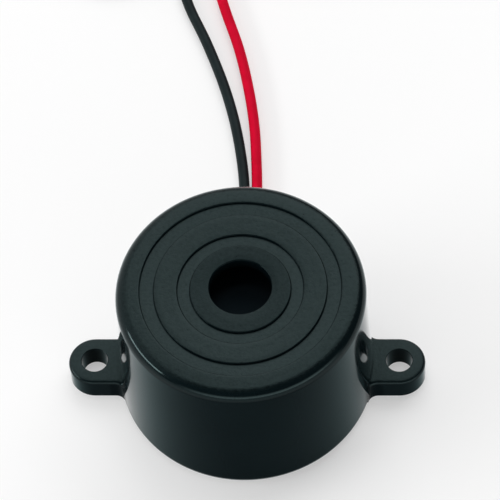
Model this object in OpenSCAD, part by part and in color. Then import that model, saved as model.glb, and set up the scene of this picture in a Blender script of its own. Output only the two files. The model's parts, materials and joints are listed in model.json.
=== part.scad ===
// Piezo buzzer: a moulded housing with two screw ears, a piezo element behind the
// sound hole, a small driver board, a pressed-in rear cover and two flying leads.
// The base lies at z = 0, the ears lie along X and the leads leave towards +Y.

/* [Housing] */
// Diameter of the body just above its rounded base edge
body_d = 30; // [29.5:0.5:34]
// Height of the body from its base to its flat top
body_h = 19.5; // [19:0.5:24]
// How much the radius narrows from the base to the rounded top edge
draft = 0.55; // [0.2:0.05:0.7]
// Radius of the rounded edge at the base
base_edge_r = 1.4; // [0.6:0.1:1.5]
// Radius of the rounded edge at the top
top_edge_r = 1.5; // [1:0.05:1.7]
// Thickness of the side wall at the base
wall_t = 1.9; // [1.7:0.1:2.1]
// Thickness of the front wall
front_t = 1.6; // [1.2:0.1:2]

/* [Front] */
// Diameter of the sound hole
sound_hole_d = 7.2; // [5.8:0.1:9]
// Distance of the sound hole from the middle of the front, towards the leads
sound_hole_shift = 0.25; // [0:0.05:0.5]
// Depth of the two ring grooves
groove_depth = 0.3; // [0.15:0.05:0.5]
// Outside radius of the outer ring groove
outer_groove_r = 11.6; // [10.8:0.1:12.4]
// Width of the outer ring groove
outer_groove_w = 1.6; // [1:0.1:2.2]
// Outside radius of the inner ring groove
inner_groove_r = 7.25; // [6.5:0.05:8]
// Width of the inner ring groove
inner_groove_w = 1.4; // [0.8:0.1:1.8]

/* [Ears] */
// Distance between the two ear holes
ear_pitch = 36; // [35.5:0.5:42]
// Width of an ear
ear_w = 6.2; // [5:0.1:8]
// Thickness of an ear
ear_t = 3.1; // [2:0.1:4]
// Diameter of an ear hole
ear_hole_d = 3.1; // [2.6:0.1:3.6]
// Radius of the rounded upper edge of an ear
ear_edge_r = 0.5; // [0.2:0.05:0.6]
// Radius of the corner between an ear's side and the body
ear_root_r = 1.2; // [0.6:0.1:1.5]

/* [Piezo element] */
// Diameter of the brass diaphragm
diaphragm_d = 24.8; // [24:0.1:25]
// Thickness of the brass diaphragm
diaphragm_t = 0.25; // [0.15:0.05:0.4]
// Diameter of the ceramic disc
ceramic_d = 18; // [15:0.5:18.5]
// Thickness of the ceramic disc
ceramic_t = 0.25; // [0.15:0.05:0.4]
// Depth of the sound chamber between the front wall and the diaphragm
chamber_depth = 2.9; // [2:0.1:3.5]
// Width of the step that the diaphragm rests against
step_w = 1; // [0.6:0.1:1.2]
// Bare rim of the ceramic disc around its silver
silver_rim = 0.6; // [0.3:0.1:1]
// Width of the feedback tongue in the silver
tongue_w = 2.6; // [2:0.1:3.4]

/* [Driver board] */
// Room between the board and the piezo element, for the tallest component and its wires
element_room = 7.45; // [6.5:0.05:8]
// Thickness of the board
board_t = 1.2; // [0.8:0.1:1.6]
// Gap between the board's edge and the housing's bore
board_gap = 0.15; // [0.1:0.05:0.2]
// Radius of a component's leg
leg_r = 0.25; // [0.2:0.05:0.3]
// Radius of a solder pad
pad_r = 0.6; // [0.5:0.02:0.62]
// Outside diameter of the choke
choke_d = 6.6; // [5:0.2:7]
// Height of the choke
choke_h = 5.6; // [4:0.2:6]
// Diameter of the transistor's case
transistor_d = 4.6; // [4:0.2:5]
// Height of the transistor's case
transistor_h = 4.4; // [3.5:0.1:4.8]
// Diameter of the capacitor
capacitor_d = 4.6; // [3.5:0.1:5.4]
// Diameter of a resistor's body
resistor_d = 1.8; // [1.4:0.1:2.2]
// Length of a resistor's body
resistor_l = 3.4; // [2.6:0.2:4.6]
// Diameter of the diode's body
diode_d = 1.7; // [1.3:0.1:2]
// Length of the diode's body
diode_l = 3.8; // [3:0.2:4.4]

/* [Rear cover] */
// Thickness of the rear cover
cover_t = 1.2; // [0.8:0.1:1.6]
// Depth of the rear cover's face inside the housing's base
cover_recess = 0.2; // [0.1:0.1:0.5]
// Radius of a post
post_r = 0.9; // [0.6:0.1:1.1]

/* [Leads] */
// Outside diameter of a lead's insulation
lead_d = 1.3; // [1.1:0.1:1.5]
// Diameter of a lead's tinned strands
core_d = 0.56; // [0.4:0.02:0.7]
// Length of the stripped far end of a lead
strip_l = 4; // [3:0.5:5]
// Thickness of the paper tie around a coil
tie_t = 0.25; // [0.15:0.05:0.35]
// Angle that the tie covers around a coil
tie_angle = 24; // [15:1:40]

/* [Hidden] */
$fn = 96;

base_r = body_d / 2;
top_r = base_r - draft;
top_edge_z = body_h - top_edge_r;
bore_r = base_r - wall_t;
front_z = body_h - front_t;
cut = 1;
// How far the corners beside the ears reach into the wall
root_sink = 0.3;

// Heights of the stack inside the housing, from the front wall down to the rear cover
step_z = front_z - chamber_depth;
diaphragm_under = step_z - diaphragm_t;
ceramic_under = diaphragm_under - ceramic_t;
silver_t = 0.05;
silver_under = ceramic_under - silver_t;
board_top = silver_under - element_room;
board_z = board_top - board_t;
cover_top = cover_recess + cover_t;
// Height of the posts that hold the board against the ribs
post_h = board_z - cover_top;

// Radii of the steps inside the housing
diaphragm_gap = 0.15;
pocket_depth = 1.1;
chamber_r = diaphragm_d / 2 - step_w;
pocket_r = diaphragm_d / 2 + diaphragm_gap;
pocket_z = step_z - pocket_depth;
rib_w = 2;
rib_angles = [45, 135, 225, 315];
cover_gap = 0.05;
post_inset = 1.9;
post_place_r = bore_r - post_inset;
post_angles = [60, 180, 300];

// The leads, from the board, out through the notch and along the floor to their coils
lead_r = lead_d / 2;
red_route = [
    [0.55, 9, 4.9], [0.55, 9, 4.5], [0.55, 9, 4], [0.55, 9.4, 2.5], [0.55, 10.6, 1.3],
    [0.55, 12.2, 0.9], [0.55, 14, 0.85], [0.6, 16.5, 0.76], [0.6, 19.5, 0.66], [0.48, 25.5, 0.66],
    [0.28, 30, 0.66], [-0.1, 35, 0.66], [-0.95, 40.5, 0.66], [-2.3, 46.5, 0.66], [-4.35, 53, 0.66],
    [-5.6, 58, 0.72], [-6, 62.5, 0.86]
];
black_route = [
    [-0.95, 9, 4.9], [-0.95, 9, 4.5], [-0.95, 9, 4], [-0.95, 9.4, 2.5], [-0.95, 10.6, 1.3],
    [-0.95, 12.2, 0.9], [-0.95, 14, 0.85], [-0.95, 16.5, 0.76], [-0.95, 19.5, 0.66], [-1.05, 25.5, 0.66],
    [-1.6, 30.5, 0.66], [-2.65, 36, 0.66], [-4.2, 41.5, 0.66], [-6.4, 47.5, 0.66], [-8.75, 53, 0.66],
    [-9.8, 57, 0.72], [-10, 60.5, 0.86]
];
red_coil_centre = [2.7, 66];
black_coil_centre = [-18.5, 64];

// A coil's turns lie side by side; the last of them bends in and ends in bare strands
coil_outer_r = 8.65;
coil_inner_r = 4.6;
tail_r = 4.1;
tail_turn = 45;
red_coil_end = 54;
black_coil_end = 126;
red_tie_at = 316;
black_tie_at = 200;

// The notch at the rear of the housing takes both leads side by side
lead_gap = 0.1;
notch_setback = 0.4;
exit_z = red_route[6][2];
exit_left = black_route[0][0];
exit_right = red_route[0][0];
exit_side = lead_r + lead_gap;
cover_notch_y = red_route[0][1] - lead_r + notch_setback;

// Places of the components on the board
choke_at = [-5.2, -2.2];
transistor_at = [4.6, -5];
transistor_lift = 1.5;
transistor_pitch = 1.27;
base_resistor_at = [4.4, 0.2];
damping_resistor_at = [4.4, 4];
resistor_span = 7.6;
diode_at = [-1, -9];
diode_span = 6.8;
capacitor_at = [-5.2, 5.2];
capacitor_w = 1.8;
capacitor_pitch = 2.5;
capacitor_lift = 0.6;
component_lift = 0.15;

// Places of the link wires on the piezo element and on the board; the ground spot lies on
// the bare brass, midway between the ceramic and the silicone bead
link_r = 0.3;
main_spot = [-2.5, 2.6];
feedback_spot = [0, -5.6];
tongue_reach = 2;
seal_setback = 0.1;
seal_inner_r = chamber_r + seal_setback;
bare_brass = seal_inner_r - ceramic_d / 2;
ground_spot = (ceramic_d + bare_brass) / 2 * [cos(45), sin(45)];
main_hole = [-1.2, 3.4];
feedback_hole = [0.4, -6.2];
ground_hole = [7, 7.9];
spot_h = 0.5;
spot_r = 0.7;
spot_gap = 0.4;
ground_spot_r = bare_brass / 2 - spot_gap;

// Each leg that goes through the board, as [place, radius]
leg_places = concat(
    [for (a = [90, 210, 330]) [choke_at + (choke_d / 3) * [cos(a), sin(a)], leg_r]],
    [for (k = [-1, 0, 1]) [transistor_at + [k * transistor_pitch, 0], leg_r]],
    [
        for (at = [base_resistor_at, damping_resistor_at], k = [-1, 1])
            [at + [k * resistor_span / 2, 0], leg_r]
    ],
    [for (k = [-1, 1]) [diode_at + [k * diode_span / 2, 0], leg_r]],
    [for (k = [-1, 1]) [capacitor_at + [k * capacitor_pitch / 2, 0], leg_r]],
    [for (at = [main_hole, feedback_hole, ground_hole]) [at, link_r]],
    [for (route = [red_route, black_route]) [[route[0][0], route[0][1]], core_d / 2]]
);
hole_gap = 0.1;
copper_t = 0.05;
track_w = 0.7;
solder_h = 0.7;
solder_inset = 0.05;
leg_out = 0.85;
core_out = 0.3;
choke_flange = 0.9;
choke_post_r = choke_d / 4;
winding_inset = 0.3;

// Copper strips between pads, as pairs of places in leg_places
track_pairs = [
    [17, 9], [9, 7], [9, 13], [18, 12], [12, 0], [1, 10], [2, 5], [3, 15], [4, 6], [8, 16], [11, 5], [14, 7]
];

housing_colour = "#2e3638";
brass_colour = "#c9a227";
ceramic_colour = "#d9d2bd";
silver_colour = "#c9ccd0";
board_colour = "#8a6a32";
copper_colour = "#b8703c";
steel_colour = "#b9bcc0";

function unit(v) = v / norm(v);

// A point on the smooth curve through points p, at share t between point i and the next
function on_curve(p, i, t) =
    let (
        a = p[max(i - 1, 0)],
        b = p[i],
        c = p[i + 1],
        d = p[min(i + 2, len(p) - 1)]
    )
    0.5 * (2 * b + (c - a) * t + (2 * a - 5 * b + 4 * c - d) * t * t + (3 * b - a - 3 * c + d) * t * t * t);

// The smooth curve through points p, with n steps between each two of them
function curve(p, n) = concat(
    [for (i = [0 : len(p) - 2], k = [0 : n - 1]) on_curve(p, i, k / n)],
    [p[len(p) - 1]]
);

function heading(line, i) = unit(line[min(i + 1, len(line) - 1)] - line[max(i - 1, 0)]);

// The corners of the eight-sided ring around point i of a line
function ring(line, i, r) =
    let (
        ahead = heading(line, i),
        side = unit(cross(ahead, [1, 0, 0])),
        across = cross(side, ahead)
    )
    [for (k = [0 : 7]) line[i] + r * (cos(45 * k) * across + sin(45 * k) * side)];

// A round wire along a line
module wire(line, r) {
    last = 8 * (len(line) - 1);
    corners = [for (i = [0 : len(line) - 1]) each ring(line, i, r)];
    sides = [
        for (i = [0 : len(line) - 2], k = [0 : 7])
            [8 * i + k, 8 * i + (k + 1) % 8, 8 * (i + 1) + (k + 1) % 8, 8 * (i + 1) + k]
    ];
    ends = [[for (k = [7 : -1 : 0]) k], [for (k = [0 : 7]) last + k]];
    polyhedron(points = corners, faces = concat(sides, ends));
}

// The outside of the body, as half of its section
module body_section() {
    base_inner = base_r - base_edge_r;
    top_inner = top_r - top_edge_r;
    polygon([
        [0, 0], [base_inner, 0], [base_inner, base_edge_r], [base_r, base_edge_r],
        [top_r, top_edge_z], [top_inner, top_edge_z], [top_inner, body_h], [0, body_h]
    ]);
    translate([base_inner, base_edge_r]) circle(r = base_edge_r);
    translate([top_inner, top_edge_z]) circle(r = top_edge_r);
}

// The stepped space inside the housing, as half of its section
module inside_section() {
    polygon([
        [0, -cut], [bore_r, -cut], [bore_r, pocket_z], [pocket_r, pocket_z],
        [pocket_r, step_z], [chamber_r, step_z], [chamber_r, front_z], [0, front_z]
    ]);
}

module ring_groove(outside_r, width) {
    translate([0, 0, body_h - groove_depth])
        rotate_extrude()
            translate([outside_r - width, 0])
                square([width, groove_depth + cut]);
}

// Half of an ear's section, with its upper edge rounded
module ear_section() {
    flat = ear_w / 2 - ear_edge_r;
    square([flat, ear_t]);
    square([ear_w / 2, ear_t - ear_edge_r]);
    translate([flat, ear_t - ear_edge_r]) circle(r = ear_edge_r);
}

// The filled corner between an ear's side and the body
module ear_root() {
    centre_y = ear_w / 2 + ear_root_r;
    reach = base_r - root_sink;
    centre_x = sqrt(pow(reach + ear_root_r, 2) - pow(centre_y, 2));
    share = reach / (reach + ear_root_r);
    linear_extrude(height = ear_t - ear_edge_r)
        difference() {
            polygon([
                [bore_r + wall_t / 2, 0], [centre_x, 0], [centre_x, ear_w / 2],
                [centre_x, centre_y], [share * centre_x, share * centre_y],
                [share * centre_x - wall_t / 2, share * centre_y]
            ]);
            translate([centre_x, centre_y]) circle(r = ear_root_r);
        }
}

module ear() {
    translate([ear_pitch / 2, 0, 0]) rotate_extrude() ear_section();
    translate([bore_r, 0, 0])
        rotate([90, 0, 90])
            linear_extrude(height = ear_pitch / 2 - bore_r) {
                ear_section();
                mirror([1, 0]) ear_section();
            }
    ear_root();
    mirror([0, 1, 0]) ear_root();
}

// Room for both leads in the rear wall, open at the base
module lead_notch() {
    depth = wall_t + 2 * cut;
    for (x = [exit_left, exit_right])
        translate([x, bore_r - cut, exit_z]) rotate([-90, 0, 0]) cylinder(r = exit_side, h = depth);
    translate([exit_left, bore_r - cut, 0]) cube([exit_right - exit_left, depth, exit_z + exit_side]);
    translate([exit_left - exit_side, bore_r - cut, -cut])
        cube([exit_right - exit_left + 2 * exit_side, depth, exit_z + cut]);
}

module board_rib() {
    translate([pocket_r, -rib_w / 2, board_top])
        cube([bore_r - pocket_r + wall_t / 4, rib_w, pocket_z - board_top + wall_t / 4]);
}

module housing() {
    color(housing_colour) {
        difference() {
            union() {
                rotate_extrude($fn = 180) body_section();
                ear();
                mirror([1, 0, 0]) ear();
            }
            rotate_extrude($fn = 180) inside_section();
            ring_groove(outer_groove_r, outer_groove_w);
            ring_groove(inner_groove_r, inner_groove_w);
            translate([0, sound_hole_shift, front_z - cut])
                cylinder(d = sound_hole_d, h = front_t + 2 * cut);
            for (x = [-ear_pitch / 2, ear_pitch / 2])
                translate([x, 0, -cut]) cylinder(d = ear_hole_d, h = ear_t + 2 * cut);
            lead_notch();
        }
        for (a = rib_angles) rotate([0, 0, a]) board_rib();
    }
}

// A bead of silicone that bonds the diaphragm's edge into its pocket
module diaphragm_seal() {
    bead = 0.75;
    color("#d8d8d2")
        rotate_extrude()
            polygon([
                [seal_inner_r, diaphragm_under], [pocket_r, diaphragm_under - bead],
                [pocket_r, diaphragm_under]
            ]);
}

module diaphragm() {
    color(brass_colour) translate([0, 0, diaphragm_under]) cylinder(d = diaphragm_d, h = diaphragm_t);
}

module ceramic_disc() {
    color(ceramic_colour) translate([0, 0, ceramic_under]) cylinder(d = ceramic_d, h = ceramic_t);
}

// The tongue of silver that senses the element's motion, in plan
module tongue(width) {
    translate([0, feedback_spot[1] + tongue_reach]) circle(d = width);
    translate([-width / 2, -ceramic_d]) square([width, ceramic_d + feedback_spot[1] + tongue_reach]);
}

module main_electrode() {
    split = 0.5;
    color(silver_colour)
        translate([0, 0, silver_under])
            linear_extrude(height = silver_t)
                difference() {
                    circle(r = ceramic_d / 2 - silver_rim);
                    tongue(tongue_w + 2 * split);
                }
}

module feedback_electrode() {
    color(silver_colour)
        translate([0, 0, silver_under])
            linear_extrude(height = silver_t)
                intersection() {
                    circle(r = ceramic_d / 2 - silver_rim);
                    tongue(tongue_w);
                }
}

module solder_spot(place, r, under) {
    translate([place[0], place[1], under - spot_h]) cylinder(r1 = r / 2, r2 = r, h = spot_h);
}

module element_solder() {
    color(steel_colour) {
        solder_spot(main_spot, spot_r, silver_under);
        solder_spot(feedback_spot, spot_r, silver_under);
        solder_spot(ground_spot, ground_spot_r, diaphragm_under);
    }
}

// A thin wire from a solder spot on the element down through the board
module link_wire(spot, under, hole) {
    top = under - spot_h;
    drop = top - board_top;
    swing = 0.6;
    points = [
        [spot[0], spot[1], top], [spot[0], spot[1], top - drop / 12], [spot[0], spot[1], top - drop / 6],
        [spot[0] + swing, (spot[1] + hole[1]) / 2, board_top + drop / 2],
        [hole[0], hole[1], board_top + drop / 6], [hole[0], hole[1], board_top],
        [hole[0], hole[1], board_z - leg_out]
    ];
    wire(curve(points, 3), link_r);
}

module main_link_wire() {
    color("#c8c032") link_wire(main_spot, silver_under, main_hole);
}

module feedback_link_wire() {
    color("#3a62b0") link_wire(feedback_spot, silver_under, feedback_hole);
}

module ground_link_wire() {
    color("#202426") link_wire(ground_spot, diaphragm_under, ground_hole);
}

module circuit_board() {
    color(board_colour)
        difference() {
            translate([0, 0, board_z]) cylinder(r = bore_r - board_gap, h = board_t);
            for (leg = leg_places)
                translate([leg[0][0], leg[0][1], board_z - cut])
                    cylinder(r = leg[1] + hole_gap, h = board_t + 2 * cut, $fn = 24);
        }
}

// A copper strip between two places, in plan
module strip(from, to) {
    along = to - from;
    translate(from)
        rotate([0, 0, atan2(along[1], along[0])])
            translate([0, -track_w / 2])
                square([norm(along), track_w]);
}

module copper_tracks() {
    color(copper_colour)
        translate([0, 0, board_z - copper_t])
            linear_extrude(height = copper_t)
                difference() {
                    union() {
                        for (leg = leg_places) translate(leg[0]) circle(r = pad_r, $fn = 24);
                        for (pair = track_pairs) strip(leg_places[pair[0]][0], leg_places[pair[1]][0]);
                    }
                    for (leg = leg_places) translate(leg[0]) circle(r = leg[1] + hole_gap, $fn = 24);
                }
}

// Cones of solder under the board, one around each leg
module board_solder() {
    color(steel_colour)
        for (leg = leg_places)
            translate([leg[0][0], leg[0][1], board_z - copper_t - solder_h])
                difference() {
                    cylinder(r1 = leg[1] + hole_gap, r2 = pad_r - solder_inset, h = solder_h, $fn = 24);
                    translate([0, 0, -cut]) cylinder(r = leg[1], h = solder_h + 2 * cut, $fn = 24);
                }
}

// A straight leg through the board, from a component's underside
module leg(place, top) {
    translate([place[0], place[1], board_z - leg_out])
        cylinder(r = leg_r, h = top - board_z + leg_out, $fn = 24);
}

// A drum of ferrite with a flange at each end
module choke_core() {
    upper = choke_h - choke_flange;
    color("#3c3a3a")
        translate([choke_at[0], choke_at[1], board_top])
            rotate_extrude()
                polygon([
                    [0, 0], [choke_d / 2, 0], [choke_d / 2, choke_flange], [choke_post_r, choke_flange],
                    [choke_post_r, upper], [choke_d / 2, upper], [choke_d / 2, choke_h], [0, choke_h]
                ]);
}

module choke_winding() {
    color(copper_colour)
        translate([choke_at[0], choke_at[1], board_top + choke_flange])
            rotate_extrude()
                translate([choke_post_r, 0])
                    square([choke_d / 2 - winding_inset - choke_post_r, choke_h - 2 * choke_flange]);
}

module choke_pins() {
    color(steel_colour)
        for (k = [0 : 2]) leg(leg_places[k][0], board_top);
}

// A moulded case with one flat side
module transistor() {
    flat = 0.35 * transistor_d;
    color("#25272a")
        translate([transistor_at[0], transistor_at[1], board_top + transistor_lift])
            linear_extrude(height = transistor_h)
                intersection() {
                    circle(d = transistor_d);
                    translate([-transistor_d, -flat]) square([2 * transistor_d, 2 * transistor_d]);
                }
}

module transistor_legs() {
    color(steel_colour)
        for (k = [3 : 5]) leg(leg_places[k][0], board_top + transistor_lift);
}

// A body that lies along X with its wires bent down through the board
module lying_body(at, diameter, long) {
    translate([at[0] - long / 2, at[1], board_top + component_lift + diameter / 2])
        rotate([0, 90, 0])
            cylinder(d = diameter, h = long, $fn = 48);
}

module lying_wires(at, diameter, long, span) {
    height = board_top + component_lift + diameter / 2;
    for (k = [-1, 1]) {
        x = at[0] + k * span / 2;
        translate([k > 0 ? at[0] + long / 2 : x, at[1], height])
            rotate([0, 90, 0])
                cylinder(r = leg_r, h = (span - long) / 2, $fn = 24);
        translate([x, at[1], height]) sphere(r = leg_r, $fn = 24);
        leg([x, at[1]], height);
    }
}

module base_resistor() {
    color("#c7a878") lying_body(base_resistor_at, resistor_d, resistor_l);
}

module base_resistor_wires() {
    color(steel_colour) lying_wires(base_resistor_at, resistor_d, resistor_l, resistor_span);
}

module damping_resistor() {
    color("#c7a878") lying_body(damping_resistor_at, resistor_d, resistor_l);
}

module damping_resistor_wires() {
    color(steel_colour) lying_wires(damping_resistor_at, resistor_d, resistor_l, resistor_span);
}

module diode() {
    color("#a4552c") lying_body(diode_at, diode_d, diode_l);
}

module diode_wires() {
    color(steel_colour) lying_wires(diode_at, diode_d, diode_l, diode_span);
}

// A coated disc that stands on its edge
module capacitor() {
    middle = board_top + capacitor_lift + capacitor_d / 2;
    color("#c9892f")
        translate([capacitor_at[0], capacitor_at[1] + capacitor_w / 2, middle])
            rotate([90, 0, 0])
                cylinder(d = capacitor_d, h = capacitor_w, $fn = 64);
}

module capacitor_wires() {
    rise = capacitor_d / 2 - sqrt(pow(capacitor_d / 2, 2) - pow(capacitor_pitch / 2 - leg_r, 2));
    color(steel_colour)
        for (k = [-1, 1])
            leg(capacitor_at + [k * capacitor_pitch / 2, 0], board_top + capacitor_lift + rise);
}

// The cover's cut for the leads, which runs out through its rim
module cover_notch(height) {
    translate([exit_left - exit_side, cover_notch_y, 0])
        cube([exit_right - exit_left + 2 * exit_side, bore_r, height]);
}

module rear_cover() {
    color(housing_colour) {
        difference() {
            translate([0, 0, cover_recess]) cylinder(r = bore_r - cover_gap, h = cover_t);
            cover_notch(cover_top + cut);
        }
        for (a = post_angles)
            rotate([0, 0, a])
                translate([post_place_r, 0, cover_top - cover_t / 2])
                    cylinder(r = post_r, h = post_h + cover_t / 2, $fn = 32);
    }
}

// Sealant that fills the cover's cut around both leads
module exit_sealant() {
    color("#3a3f40")
        intersection() {
            translate([0, 0, cover_recess]) cylinder(r = bore_r - cover_gap, h = cover_t);
            cover_notch(cover_top);
        }
}

// Stripped strands from a lead's end up through the board
module core(route) {
    start = route[0];
    color(silver_colour)
        translate(start) cylinder(d = core_d, h = board_top - start[2] + core_out, $fn = 24);
}

module red_core() {
    core(red_route);
}

module black_core() {
    core(black_route);
}

module red_lead() {
    color("#c8102e") wire(curve(red_route, 3), lead_r);
}

module black_lead() {
    color("#24292b") wire(curve(black_route, 3), lead_r);
}

// The outer shape of a flat coil, which stands on its tie
module coil(centre) {
    edge = lead_r / 2;
    width = coil_outer_r - coil_inner_r + lead_d;
    translate([centre[0], centre[1], tie_t])
        rotate_extrude()
            translate([coil_inner_r - lead_r, 0]) {
                translate([edge, 0]) square([width - 2 * edge, lead_d]);
                translate([0, edge]) square([width, lead_d - 2 * edge]);
                for (x = [edge, width - edge], z = [edge, lead_d - edge])
                    translate([x, z]) circle(r = edge, $fn = 24);
            }
}

module red_coil() {
    color("#c8102e") coil(red_coil_centre);
}

module black_coil() {
    color("#24292b") coil(black_coil_centre);
}

// A band of paper around a coil's turns
module tie(centre, at) {
    inside = coil_inner_r - lead_r;
    width = coil_outer_r + lead_r - inside;
    translate([centre[0], centre[1], 0])
        rotate([0, 0, at])
            rotate_extrude(angle = tie_angle)
                difference() {
                    translate([inside - tie_t, 0]) square([width + 2 * tie_t, lead_d + 2 * tie_t]);
                    translate([inside, tie_t]) square([width, lead_d]);
                }
}

module red_tie() {
    color("#e8e6df") tie(red_coil_centre, red_tie_at);
}

module black_tie() {
    color("#e8e6df") tie(black_coil_centre, black_tie_at);
}

// Bare strands that leave a coil's last turn, bending in; way is 1 for a turn to the left
module tinned_end(centre, at, way) {
    translate([centre[0], centre[1], tie_t + lead_r])
        rotate([0, 0, at])
            translate([tail_r, 0, 0])
                rotate([0, 0, way * (90 + tail_turn)])
                    rotate([0, 90, 0])
                        cylinder(d = core_d, h = strip_l, $fn = 24);
}

module red_tinned_end() {
    color(silver_colour) tinned_end(red_coil_centre, red_coil_end, -1);
}

module black_tinned_end() {
    color(silver_colour) tinned_end(black_coil_centre, black_coil_end, 1);
}

housing();
diaphragm_seal();
diaphragm();
ceramic_disc();
main_electrode();
feedback_electrode();
element_solder();
main_link_wire();
feedback_link_wire();
ground_link_wire();
circuit_board();
copper_tracks();
board_solder();
choke_core();
choke_winding();
choke_pins();
transistor();
transistor_legs();
base_resistor();
base_resistor_wires();
damping_resistor();
damping_resistor_wires();
diode();
diode_wires();
capacitor();
capacitor_wires();
rear_cover();
exit_sealant();
red_core();
black_core();
red_lead();
black_lead();
red_coil();
black_coil();
red_tie();
black_tie();
red_tinned_end();
black_tinned_end();
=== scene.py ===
import json
import math

import bmesh
import bpy
from mathutils import Matrix, Vector


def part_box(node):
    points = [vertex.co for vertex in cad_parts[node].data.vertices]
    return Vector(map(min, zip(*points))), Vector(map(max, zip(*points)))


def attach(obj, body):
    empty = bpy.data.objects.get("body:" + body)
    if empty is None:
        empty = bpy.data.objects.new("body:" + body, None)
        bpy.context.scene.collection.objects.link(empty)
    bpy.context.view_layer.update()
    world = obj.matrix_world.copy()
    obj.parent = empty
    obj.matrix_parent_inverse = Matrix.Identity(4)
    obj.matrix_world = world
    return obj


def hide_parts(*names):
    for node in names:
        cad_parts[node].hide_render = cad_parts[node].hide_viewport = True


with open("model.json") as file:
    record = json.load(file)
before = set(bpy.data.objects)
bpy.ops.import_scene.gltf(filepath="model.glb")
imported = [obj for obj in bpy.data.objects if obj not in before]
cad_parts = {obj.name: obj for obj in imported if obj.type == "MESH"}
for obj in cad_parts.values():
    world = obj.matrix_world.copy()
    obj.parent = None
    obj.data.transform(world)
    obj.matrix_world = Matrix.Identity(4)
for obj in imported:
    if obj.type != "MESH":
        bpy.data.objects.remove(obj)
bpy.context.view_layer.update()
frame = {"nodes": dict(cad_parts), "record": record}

nodes = frame["nodes"]
mm = 0.001  # sizes are in millimetres, except the camera's, the floor's and the lamps'
sharpAngle = 40  # edges that turn by more degrees than this stay sharp
print("frame loaded")


def placed(name, data):
    # A new object in the scene
    made = bpy.data.objects.new(name, data)
    bpy.context.scene.collection.objects.link(made)
    return made


def newPiece(name, data, slot, *replaced):
    piece = placed(name, data)
    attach(piece, "root")
    if replaced:
        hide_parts(*replaced)
    return piece


def smoothShaded(mesh):
    mesh.shade_smooth()
    mesh.set_sharp_from_angle(angle=math.radians(sharpAngle))


# The camera stands high in front of the buzzer, turned a little to its right
cameraLook = {
    "distance": 0.45,  # metres and degrees, and the lens in millimetres
    "azimuth": 5.586,
    "elevation": 57.881,
    "roll": -4.824,
    "lens": 273.69,
    "target": (0.000356, 0.011642, 0.009),
    "clip": (0.02, 20),
}


def placeCamera(look):
    azimuth, elevation, roll = (math.radians(look[key]) for key in ("azimuth", "elevation", "roll"))
    flat = math.cos(elevation)
    back = Vector((math.sin(azimuth) * flat, -math.cos(azimuth) * flat, math.sin(elevation)))
    right = Vector((math.cos(azimuth), math.sin(azimuth), 0))
    up = back.cross(right)
    axes = (
        right * math.cos(roll) + up * math.sin(roll),
        up * math.cos(roll) - right * math.sin(roll),
        back,
    )
    data = bpy.data.cameras.new("camera")
    data.lens = look["lens"]
    data.clip_start, data.clip_end = look["clip"]
    camera = placed("camera", data)
    camera.matrix_world = (
        Matrix.Translation(Vector(look["target"]) + back * look["distance"])
        @ Matrix(axes).transposed().to_4x4()
    )
    bpy.context.scene.camera = camera


placeCamera(cameraLook)
print("camera placed")

# The leads run out of the notch, along the floor and into a flat coil each
leadSize = {
    "diameter": 1.3,
    "length": 161,
    "routeSteps": 6,  # between two points of a route
    "coilStart": 8.65,
    "coilPitch": 1.38,
    "coilTurns": 2,
    "turnSteps": 40,
    "coilHeight": 0.9,
    "tailLength": 12.4,
    "tailBends": (0.16, 0.2745),  # radians a millimetre, first and last
    "tailSteps": 60,
    "roundness": 5,
    "strands": 6,
    "strandTwist": 5,
    "strandLength": 4,
    "strandDiameter": 0.19,
    "strandSteps": 24,
}
redRoute = [
    (0.55, 9, 4.9), (0.55, 9, 4.5), (0.55, 9, 4), (0.55, 9.4, 2.5), (0.55, 10.6, 1.3),
    (0.55, 12.2, 0.9), (0.55, 14, 0.85), (0.6, 16.5, 0.76), (0.6, 19.5, 0.66), (0.48, 25.5, 0.66),
    (0.28, 30, 0.66), (-0.1, 35, 0.66), (-0.95, 40.5, 0.66), (-2.3, 46.5, 0.66), (-4.35, 53, 0.66),
    (-5.6, 58, 0.72), (-6, 62.5, 0.86),
]
blackRoute = [
    (-0.95, 9, 4.9), (-0.95, 9, 4.5), (-0.95, 9, 4), (-0.95, 9.4, 2.5), (-0.95, 10.6, 1.3),
    (-0.95, 12.2, 0.9), (-0.95, 14, 0.85), (-0.95, 16.5, 0.76), (-0.95, 19.5, 0.66), (-1.05, 25.5, 0.66),
    (-1.6, 30.5, 0.66), (-2.65, 36, 0.66), (-4.2, 41.5, 0.66), (-6.4, 47.5, 0.66), (-8.75, 53, 0.66),
    (-9.8, 57, 0.72), (-10, 60.5, 0.86),
]
leads = {
    "red": {
        "route": redRoute,
        "exit": (0.55, 15, 0.85),
        "centre": (2.7, 66),
        "startAngle": 180,
        "way": -1,
        "tieAngle": 328,
    },
    "black": {
        "route": blackRoute,
        "exit": (-0.95, 15, 0.85),
        "centre": (-18.5, 64),
        "startAngle": 0,
        "way": 1,
        "tieAngle": 212,
    },
}

# A paper strip is wound round each coil, and its end lies over its start
tieSize = {
    "inner": 3.65,
    "outer": 9.5,
    "low": 0.1,
    "high": 1.7,
    "corner": 0.5,
    "cornerSteps": 5,
    "sheet": 0.19,
    "width": 2.2,
    "start": 5.2,
    "end": 7.6,
    "slope": 0.5,
    "rise": 0.2,
    "liftedPart": 0.6,
    "lift": 0.08,
}


def smoothLine(points):
    # The same smooth curve through the points as the solids follow
    line = []
    steps = leadSize["routeSteps"]
    for i in range(len(points) - 1):
        a, b, c, d = (
            Vector(points[min(max(k, 0), len(points) - 1)]) for k in (i - 1, i, i + 1, i + 2)
        )
        for k in range(steps):
            t = k / steps
            bend = (2 * a - 5 * b + 4 * c - d) * t**2 + (3 * b - a - 3 * c + d) * t**3
            line.append((2 * b + (c - a) * t + bend) / 2)
    return line + [Vector(points[-1])]


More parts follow.
